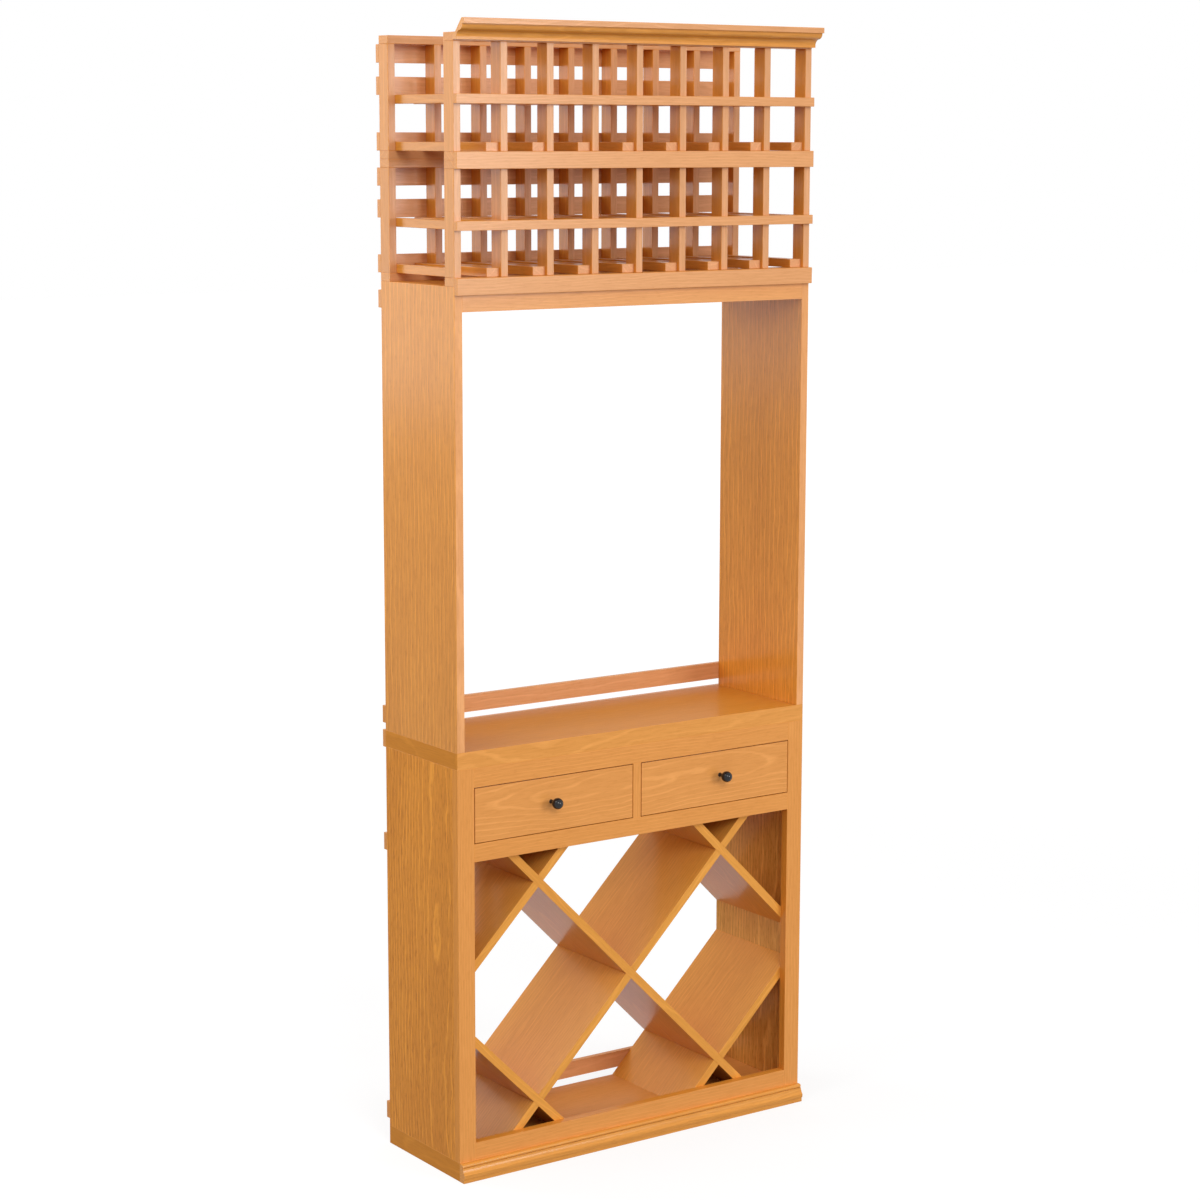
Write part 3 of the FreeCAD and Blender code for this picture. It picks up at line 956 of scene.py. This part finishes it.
@dataclass
class Base:
    """The carcase under the counter: floor slab, side panels, deck, partition, packers and back slats."""

    finishes: Finishes
    arris: float = 0.5 * MM

    def build(self) -> None:
        """Dress the carcase."""
        boards("base_floor_slab", Grain.X, self.finishes.slab, self.arris, banded=True)
        for side, inward in (("left", 1.0), ("right", -1.0)):
            # The inner face takes a painted sheen.
            boards(f"base_side_{side}", Grain.Z, self.finishes.panel, self.arris, painted_light_face=(inward, 0.0, 0.0))
        boards("drawer_deck", Grain.X, self.finishes.inner, self.arris)
        boards("drawer_partition", Grain.Y, self.finishes.inner, self.arris)
        boards("drawer_slide_packers", Grain.Y, self.finishes.inner, self.arris)
        # The front faces take a painted sheen.
        boards("base_back_slats", Grain.X, self.finishes.rack, self.arris, painted_light_face=FORWARD)


@dataclass
class FaceFrame:
    """Stiles and rails round the drawers and the bin."""

    finishes: Finishes
    arris: float = 0.3 * MM

    def build(self) -> None:
        """Dress the stiles and rails."""
        # The front faces take a painted sheen.
        for place in ("left", "right", "centre"):
            boards(f"frame_stile_{place}", Grain.Z, self.finishes.front, self.arris, painted_light_face=FORWARD)
        for place in ("bottom", "middle", "top"):
            boards(f"frame_rail_{place}", Grain.X, self.finishes.front, self.arris, painted_light_face=FORWARD)


@dataclass
class DiamondBin:
    """Six half-lapped boards at 45 degrees."""

    finishes: Finishes
    arris: float = 0.6 * MM

    def build(self) -> None:
        """Dress the boards."""
        for place in ("lower", "centre", "upper"):
            eased_copy(f"bin_board_rising_{place}", Grain.RISING, self.finishes.inner, self.arris)
            eased_copy(f"bin_board_falling_{place}", Grain.FALLING, self.finishes.inner, self.arris)


@dataclass
class CounterAndNiche:
    """The counter, the niche's side panels, its header, its top board and its back slats."""

    finishes: Finishes
    arris: float = 0.5 * MM

    def build(self) -> None:
        """Dress the counter and the niche."""
        # The top takes a painted shade.
        boards("counter_top", Grain.X, self.finishes.slab, self.arris, banded=True, painted_light_face=(0.0, 0.0, 1.0))
        for side in ("left", "right"):
            # The front edge takes a painted sheen.
            boards(f"niche_side_{side}", Grain.Z, self.finishes.side, self.arris, painted_light_face=FORWARD)
        boards("niche_header", Grain.X, self.finishes.trim, self.arris)
        boards("niche_top", Grain.X, self.finishes.inner, self.arris)
        # The front faces take a painted sheen.
        boards("niche_back_slats", Grain.X, self.finishes.rack, self.arris, painted_light_face=FORWARD)


@dataclass
class Rack:
    """One of the two stacked modules of the storage rack."""

    finishes: Finishes
    level: str
    arris: float = 0.7 * MM

    def build(self) -> None:
        """Dress every board of the module."""
        for name, grain, rounds in (("front_uprights", Grain.Z, 1), ("back_uprights", Grain.Z, 1),
                                    ("wide_runners", Grain.Y, 1), ("narrow_runners", Grain.Y, 1),
                                    ("plates", Grain.X, 2), ("back_slats", Grain.X, 2),
                                    ("narrow_rail", Grain.X, 2), ("wide_rail", Grain.X, 2)):
            finish = self.finishes.rail if name.endswith("rail") else self.finishes.rack
            # The front faces take a painted sheen.
            boards(f"rack_{self.level}_{name}", grain, finish, self.arris, rounds, painted_light_face=FORWARD)


@dataclass
class BaseMoulding:
    """The moulding at the foot: foot, nose, cove, quirk and bead."""

    finishes: Finishes
    foot: float = 15.5 * MM
    foot_height: float = 10.0 * MM
    nose_step: float = 3.0 * MM
    nose_height: float = 8.0 * MM
    cove_reach: float = 6.5 * MM
    cove_height: float = 13.5 * MM
    cove_sag: float = 1.2 * MM
    quirk: float = 3.0 * MM
    quirk_height: float = 1.6 * MM
    bead_set: float = 0.6 * MM
    bead_reach: float = 3.0 * MM
    bead_height: float = 6.0 * MM
    bead_bulge: float = 1.3 * MM
    rounding: float = 0.8 * MM
    rounding_bulge: float = 0.29
    rounding_steps: int = 4

    def outline(self, y_back: float) -> Array:
        """Return the outline, with the nose's corners rounded.

        Args:
            y_back: Place of the moulding's flat back.

        Returns:
            Rows of y and z.
        """
        nose = self.foot + self.nose_step
        z_nose = self.foot_height + self.nose_height
        z_cove = z_nose + self.cove_height
        z_quirk = z_cove + self.quirk_height
        neck = nose - self.cove_reach
        r = self.rounding
        parts = [np.array(((0.0, 0.0), (0.0, z_quirk + self.bead_height),
                           (neck - self.bead_set - self.bead_reach, z_quirk + self.bead_height)))]
        parts.append(arc_points(tuple(parts[-1][-1]), (neck - self.bead_set, z_quirk), -self.bead_bulge))
        parts.append(np.array(((neck - self.quirk, z_quirk), (neck - self.quirk, z_cove), (neck, z_cove))))
        parts.append(arc_points((neck, z_cove), (nose, z_nose), self.cove_sag))
        parts.append(arc_points((nose, z_nose - r), (nose - r, self.foot_height),
                                -self.rounding_bulge * r, self.rounding_steps))
        parts.append(np.array(((self.foot, self.foot_height), (self.foot, 0.0))))
        out = np.concatenate(parts)
        return np.column_stack((y_back - out[:, 0], out[:, 1]))[::-1]

    def build(self) -> None:
        """Dress the moulding."""
        low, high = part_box("base_moulding")
        moulding("base_moulding", self.outline(high.y), self.finishes.moulding)


@dataclass
class CrownMoulding:
    """The crown: a foot, an ogee of two equal arcs and a lip, with a slanted back."""

    finishes: Finishes
    foot: float = 12.0 * MM
    fillet: float = 4.5 * MM
    reach: float = 23.0 * MM
    rise: float = 25.0 * MM
    lip_step: float = 6.0 * MM
    lip_height: float = 11.5 * MM
    lip_depth: float = 9.0 * MM
    foot_height: float = 14.5 * MM
    ledge: float = 8.6 * MM
    lip_ease: float = 0.6 * MM
    arc_steps: int = 16

    def outline(self, y_back: float, z_low: float) -> Array:
        """Return the outline.

        Args:
            y_back: Place of the flat back of the foot.
            z_low: Height of the underside.

        Returns:
            Rows of y and z.
        """
        waist = (self.foot + self.reach / 2, self.fillet + self.rise / 2)
        top = (self.foot + self.reach, self.fillet + self.rise)
        lip = top[0] + self.lip_step
        lip_top = top[1] + self.lip_height
        bulge = self.half_arc_bulge()
        e = self.lip_ease
        parts = [np.array(((0.0, 0.0), (self.foot, 0.0), (self.foot, self.fillet))),
                 arc_points((self.foot, self.fillet), waist, -bulge, self.arc_steps),
                 arc_points(waist, top, bulge, self.arc_steps),
                 np.array(((lip - e, top[1]), (lip, top[1] + e), (lip, lip_top - e), (lip - e, lip_top),
                           (lip - self.lip_depth, lip_top), (self.ledge, self.foot_height),
                           (0.0, self.foot_height)))]
        out = np.concatenate(parts)
        return np.column_stack((y_back - out[:, 0], z_low + out[:, 1]))[::-1]

    def half_arc_bulge(self) -> float:
        """Work out how round each arc is when the ogee starts and ends upright.

        Returns:
            How far each arc stands off its chord.
        """
        half_reach, half_rise = self.reach / 2, self.rise / 2
        radius = (half_reach ** 2 + half_rise ** 2) / self.reach
        return radius - math.sqrt(radius ** 2 - (half_reach ** 2 + half_rise ** 2) / 4)

    def build(self) -> None:
        """Dress the moulding."""
        low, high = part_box("crown_moulding")
        # The front face takes a painted sheen.
        moulding("crown_moulding", self.outline(high.y, low.z), self.finishes.moulding, FORWARD)


@dataclass
class Knob:
    """A ball on a neck and a flange, and the screw behind it."""

    finishes: Finishes
    side: str
    ball: float = 12.0 * MM
    neck: float = 4.0 * MM
    flange: float = 4.6 * MM
    flange_thickness: float = 1.5 * MM
    flange_round: float = 0.5 * MM
    ball_foot: float = 1.15
    waist: float = 0.92
    flare: float = 0.28
    head: float = 4.0 * MM
    head_height: float = 2.5 * MM
    dome: float = 0.55
    shank: float = 2.0 * MM
    tip: float = 0.7
    cross: float = 0.55 * MM
    cross_reach: float = 0.62
    cross_depth: float = 0.45
    rim_points: int = 5
    ball_points: int = 36
    neck_points: int = 9
    neck_range: tuple[float, float] = (0.08, 0.92)
    dome_points: int = 10
    screw_segments: int = 40

    def knob_profile(self, reach: float) -> Array:
        """Return the knob's profile from its face on the drawer to the front of the ball.

        The neck meets the flange and the ball in hollow curves: its radius grows as the square of the
        distance from its own middle.

        Args:
            reach: Distance from the drawer to the front of the ball.

        Returns:
            Rows of radius and place, with the front towards minus.
        """
        r = self.flange_round
        turn = np.linspace(0.0, math.pi / 2, self.rim_points)
        rim = np.column_stack((self.flange - r + r * np.cos(turn),
                               self.flange_thickness - r + r * np.sin(turn)))
        centre = reach - self.ball
        start = math.asin(self.ball_foot * self.neck / self.ball)
        arc = np.linspace(start, math.pi, self.ball_points)
        ball = np.column_stack((self.ball * np.sin(arc), centre - self.ball * np.cos(arc)))
        share = np.linspace(*self.neck_range, self.neck_points)
        hollow = self.neck * (self.waist + self.flare * (2 * share - 1) ** 2)
        length = ball[0, 1] - self.flange_thickness
        throat = np.column_stack((hollow, self.flange_thickness + share * length))
        profile = np.concatenate((((0.0, 0.0), (self.flange, 0.0)), rim, throat, ball))
        profile[-1, 0] = 0.0
        return profile * np.array((1.0, -1.0))

    def screw_profile(self, length: float) -> Array:
        """Return the screw's profile: a tapered tip, a straight shank and a head with an elliptic dome.

        Args:
            length: Its whole length.

        Returns:
            Rows of radius and place, from the tip to the top of the head.
        """
        turn = np.linspace(0.0, math.pi / 2, self.dome_points)
        rise = self.head_height * self.dome
        dome = np.column_stack((self.head * np.cos(turn), length - rise + rise * np.sin(turn)))
        start = ((0.0, 0.0), (self.shank * self.tip, 0.0), (self.shank, self.shank / 2),
                 (self.shank, length - self.head_height), (self.head, length - self.head_height))
        profile = np.concatenate((start, dome))
        profile[-1, 0] = 0.0
        return profile

    def build(self) -> None:
        """Dress the knob and its screw."""
        node = f"drawer_{self.side}_knob"
        low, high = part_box(node)
        centre = np.array(((low.x + high.x) / 2, high.y, (low.z + high.z) / 2))
        points, faces = lathe(self.knob_profile(high.y - low.y), centre)
        surface = Surface()
        surface.add(points, [face[::-1] for face in faces], Grain.Y.axes())
        stand_for(surface.make(f"{node}_turned", self.finishes.knob, smooth_below=50.0), node)
        self.build_screw()

    def build_screw(self) -> None:
        """Dress the screw: a turned body whose head has a cross pressed into it."""
        node = f"drawer_{self.side}_knob_screw"
        low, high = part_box(node)
        centre = np.array(((low.x + high.x) / 2, low.y, (low.z + high.z) / 2))
        points, faces = lathe(self.screw_profile(high.y - low.y), centre, self.screw_segments)
        off = points - centre
        near = np.minimum(np.abs(off[:, 0]), np.abs(off[:, 2])) < self.cross
        inside = np.hypot(off[:, 0], off[:, 2]) < self.cross_reach * self.head
        on_head = off[:, 1] > high.y - low.y - self.head_height / 2
        points[near & inside & on_head, 1] -= self.cross_depth * self.head_height
        surface = Surface()
        surface.add(points, faces, Grain.Y.axes())
        stand_for(surface.make(f"{node}_turned", self.finishes.zinc, smooth_below=40.0), node)


@dataclass
class Drawer:
    """A drawer with its box, bottom and telescoping slides."""

    finishes: Finishes
    side: str
    front_arris: float = 0.5 * MM
    box_arris: float = 0.8 * MM
    bottom_arris: float = 0.3 * MM

    def build(self) -> None:
        """Dress the drawer."""
        name = f"drawer_{self.side}"
        eased_copy(f"{name}_front", Grain.X, self.finishes.drawer, self.front_arris)
        eased_copy(f"{name}_sides", Grain.Y, self.finishes.box, self.box_arris)
        eased_copy(f"{name}_ends", Grain.X, self.finishes.box, self.box_arris)
        boards(f"{name}_bottom", Grain.X, self.finishes.box, self.bottom_arris)
        for member in ("slide_middle_members", "slide_drawer_members"):
            dress_steel(f"{name}_{member}", self.finishes)
        Knob(self.finishes, self.side).build()


def dress_steel(node: str, finishes: Finishes) -> None:
    """Give a node of rolled steel its finish, and keep its solids.

    Args:
        node: The node's name.
        finishes: The finishes.
    """
    mesh = frame["nodes"][node].data
    mesh.materials.clear()
    mesh.materials.append(finishes.zinc)
    LOG.info("%s keeps its solids", node)


@dataclass(frozen=True)
class Softbox:
    """A wide lamp that hangs round the station and faces it.

    Its azimuth goes from the front towards the right and its elevation is seen from the aim. The brightness
    is that of its face, where 1 is white.
    """

    name: str
    azimuth: float
    elevation: float
    width: float
    height: float
    brightness: float
    distance: float
    aim: tuple[float, float, float] = (0.0, 0.0, 1.5)

    def build(self) -> None:
        """Hang the lamp."""
        light = bpy.data.lights.new(self.name, "AREA")
        light.shape = "RECTANGLE"
        light.size, light.size_y = self.width, self.height
        light.energy = self.brightness * math.pi * self.width * self.height
        turn, rise = math.radians(self.azimuth), math.radians(self.elevation)
        away = Vector((math.sin(turn) * math.cos(rise), -math.cos(turn) * math.cos(rise), math.sin(rise)))
        lamp = bpy.data.objects.new(self.name, light)
        lamp.location = Vector(self.aim) + away * self.distance
        lamp.rotation_euler = away.to_track_quat("Z", "Y").to_euler()
        lamp.visible_camera = False
        bpy.context.scene.collection.objects.link(lamp)


@dataclass
class Studio:
    """A pale floor, a white surround, soft lamps and the camera."""

    floor_size: float = 60.0
    floor_tone: float = 0.24
    floor_white: tuple[float, float] = (0.78, 0.92)
    floor_fade: tuple[float, float] = (2.0, 8.0)
    ambient: float = 0.65
    softboxes: tuple[Softbox, ...] = (Softbox("softbox_front_right", 23.0, 8.0, 2.6, 2.6, 11.6, 9.0),
                                      Softbox("softbox_over_front", 344.0, 26.0, 3.6, 3.6, 6.8, 9.0),
                                      Softbox("softbox_over_left", 275.0, 38.0, 2.0, 2.0, 3.3, 3.8),
                                      Softbox("softbox_back_left", 216.0, 19.0, 1.6, 3.2, 2.6, 3.8))
    sensor: float = 36.0
    lens: float = 84.75
    clip: tuple[float, float] = (0.1, 200.0)
    eye: tuple[float, float, float] = (-3.4287, -4.9033, 2.1514)
    yaw: float = 0.6105
    pitch: float = 0.1630
    roll: float = -0.0020

    def build(self) -> None:
        """Set up the studio."""
        self.floor()
        self.surround()
        for softbox in self.softboxes:
            softbox.build()
        self.camera()

    def floor(self) -> None:
        """Lay the floor, which is white to the eye and in reflections and takes a soft shadow."""
        half = self.floor_size / 2
        mesh = bpy.data.meshes.new("studio_floor")
        corners = [(x * half, y * half, 0.0) for x, y in ((-1, -1), (1, -1), (1, 1), (-1, 1))]
        mesh.from_pydata(corners, [], [(0, 1, 2, 3)])
        s = Shader("studio_floor_white")
        matt = s.node("BsdfDiffuse", Color=(self.floor_tone, self.floor_tone, self.floor_tone, 1.0))
        path = s.node("LightPath")
        seen = s.math("MAXIMUM", path.outputs["Is Camera Ray"], path.outputs["Is Glossy Ray"])
        seen = s.math("MAXIMUM", seen, path.outputs["Is Transmission Ray"])
        away = s.vector("LENGTH", s.node("TexCoord").outputs["Object"])
        white = s.range(away, *self.floor_fade, *self.floor_white)
        glow = s.node("Emission", Color=(1.0, 1.0, 1.0, 1.0), Strength=s.math("MULTIPLY", seen, white))
        both = s.tree.nodes.new("ShaderNodeAddShader")
        s.tree.links.new(matt.outputs[0], both.inputs[0])
        s.tree.links.new(glow.outputs[0], both.inputs[1])
        link("studio_floor", mesh, s.finish(both))

    def surround(self) -> None:
        """Make the world white to the eye and in reflections, and a plain soft light elsewhere."""
        world = bpy.data.worlds.new("studio_world")
        bpy.context.scene.world = world
        world.use_nodes = True
        tree = world.node_tree
        tree.nodes.clear()
        output = tree.nodes.new("ShaderNodeOutputWorld")
        path = tree.nodes.new("ShaderNodeLightPath")
        seen = path.outputs["Is Camera Ray"]
        for ray in ("Is Glossy Ray", "Is Transmission Ray"):
            either = tree.nodes.new("ShaderNodeMath")
            either.operation = "MAXIMUM"
            tree.links.new(seen, either.inputs[0])
            tree.links.new(path.outputs[ray], either.inputs[1])
            seen = either.outputs[0]
        mix = tree.nodes.new("ShaderNodeMixShader")
        for index, strength in ((1, self.ambient), (2, 1.0)):
            light = tree.nodes.new("ShaderNodeBackground")
            light.inputs["Color"].default_value = (1.0, 1.0, 1.0, 1.0)
            light.inputs["Strength"].default_value = strength
            tree.links.new(light.outputs[0], mix.inputs[index])
        tree.links.new(seen, mix.inputs["Fac"])
        tree.links.new(mix.outputs[0], output.inputs["Surface"])

    def camera(self) -> None:
        """Place the camera at the photograph's viewing angle."""
        data = bpy.data.cameras.new("photo_camera")
        data.sensor_width = self.sensor
        data.lens = self.lens
        data.clip_start, data.clip_end = self.clip
        level_out = math.cos(self.pitch)
        look = Vector((math.sin(self.yaw) * level_out, math.cos(self.yaw) * level_out, -math.sin(self.pitch)))
        level = Vector((math.cos(self.yaw), -math.sin(self.yaw), 0.0))
        down = look.cross(level)
        right = level * math.cos(self.roll) + down * math.sin(self.roll)
        up = look.cross(right) * -1.0
        axes = Matrix((right, up, -look)).transposed()
        camera = bpy.data.objects.new("photo_camera", data)
        camera.matrix_world = Matrix.Translation(self.eye) @ axes.to_4x4()
        bpy.context.scene.collection.objects.link(camera)
        bpy.context.scene.camera = camera


def main() -> None:
    """Dress every sub-assembly in order and set up the studio."""
    logging.basicConfig(level=logging.INFO, format="%(message)s")
    bpy.context.scene.view_settings.view_transform = "Standard"
    finishes = Finishes()
    parts = [Base(finishes), FaceFrame(finishes), DiamondBin(finishes), CounterAndNiche(finishes),
             Rack(finishes, "lower"), Rack(finishes, "upper"),
             BaseMoulding(finishes), CrownMoulding(finishes),
             Drawer(finishes, "left"), Drawer(finishes, "right"), Studio()]
    for part in parts:
        part.build()
        LOG.info("%s is built", type(part).__name__)
    dress_steel("drawer_slide_cabinet_members", finishes)


if __name__ == "__main__":
    main()
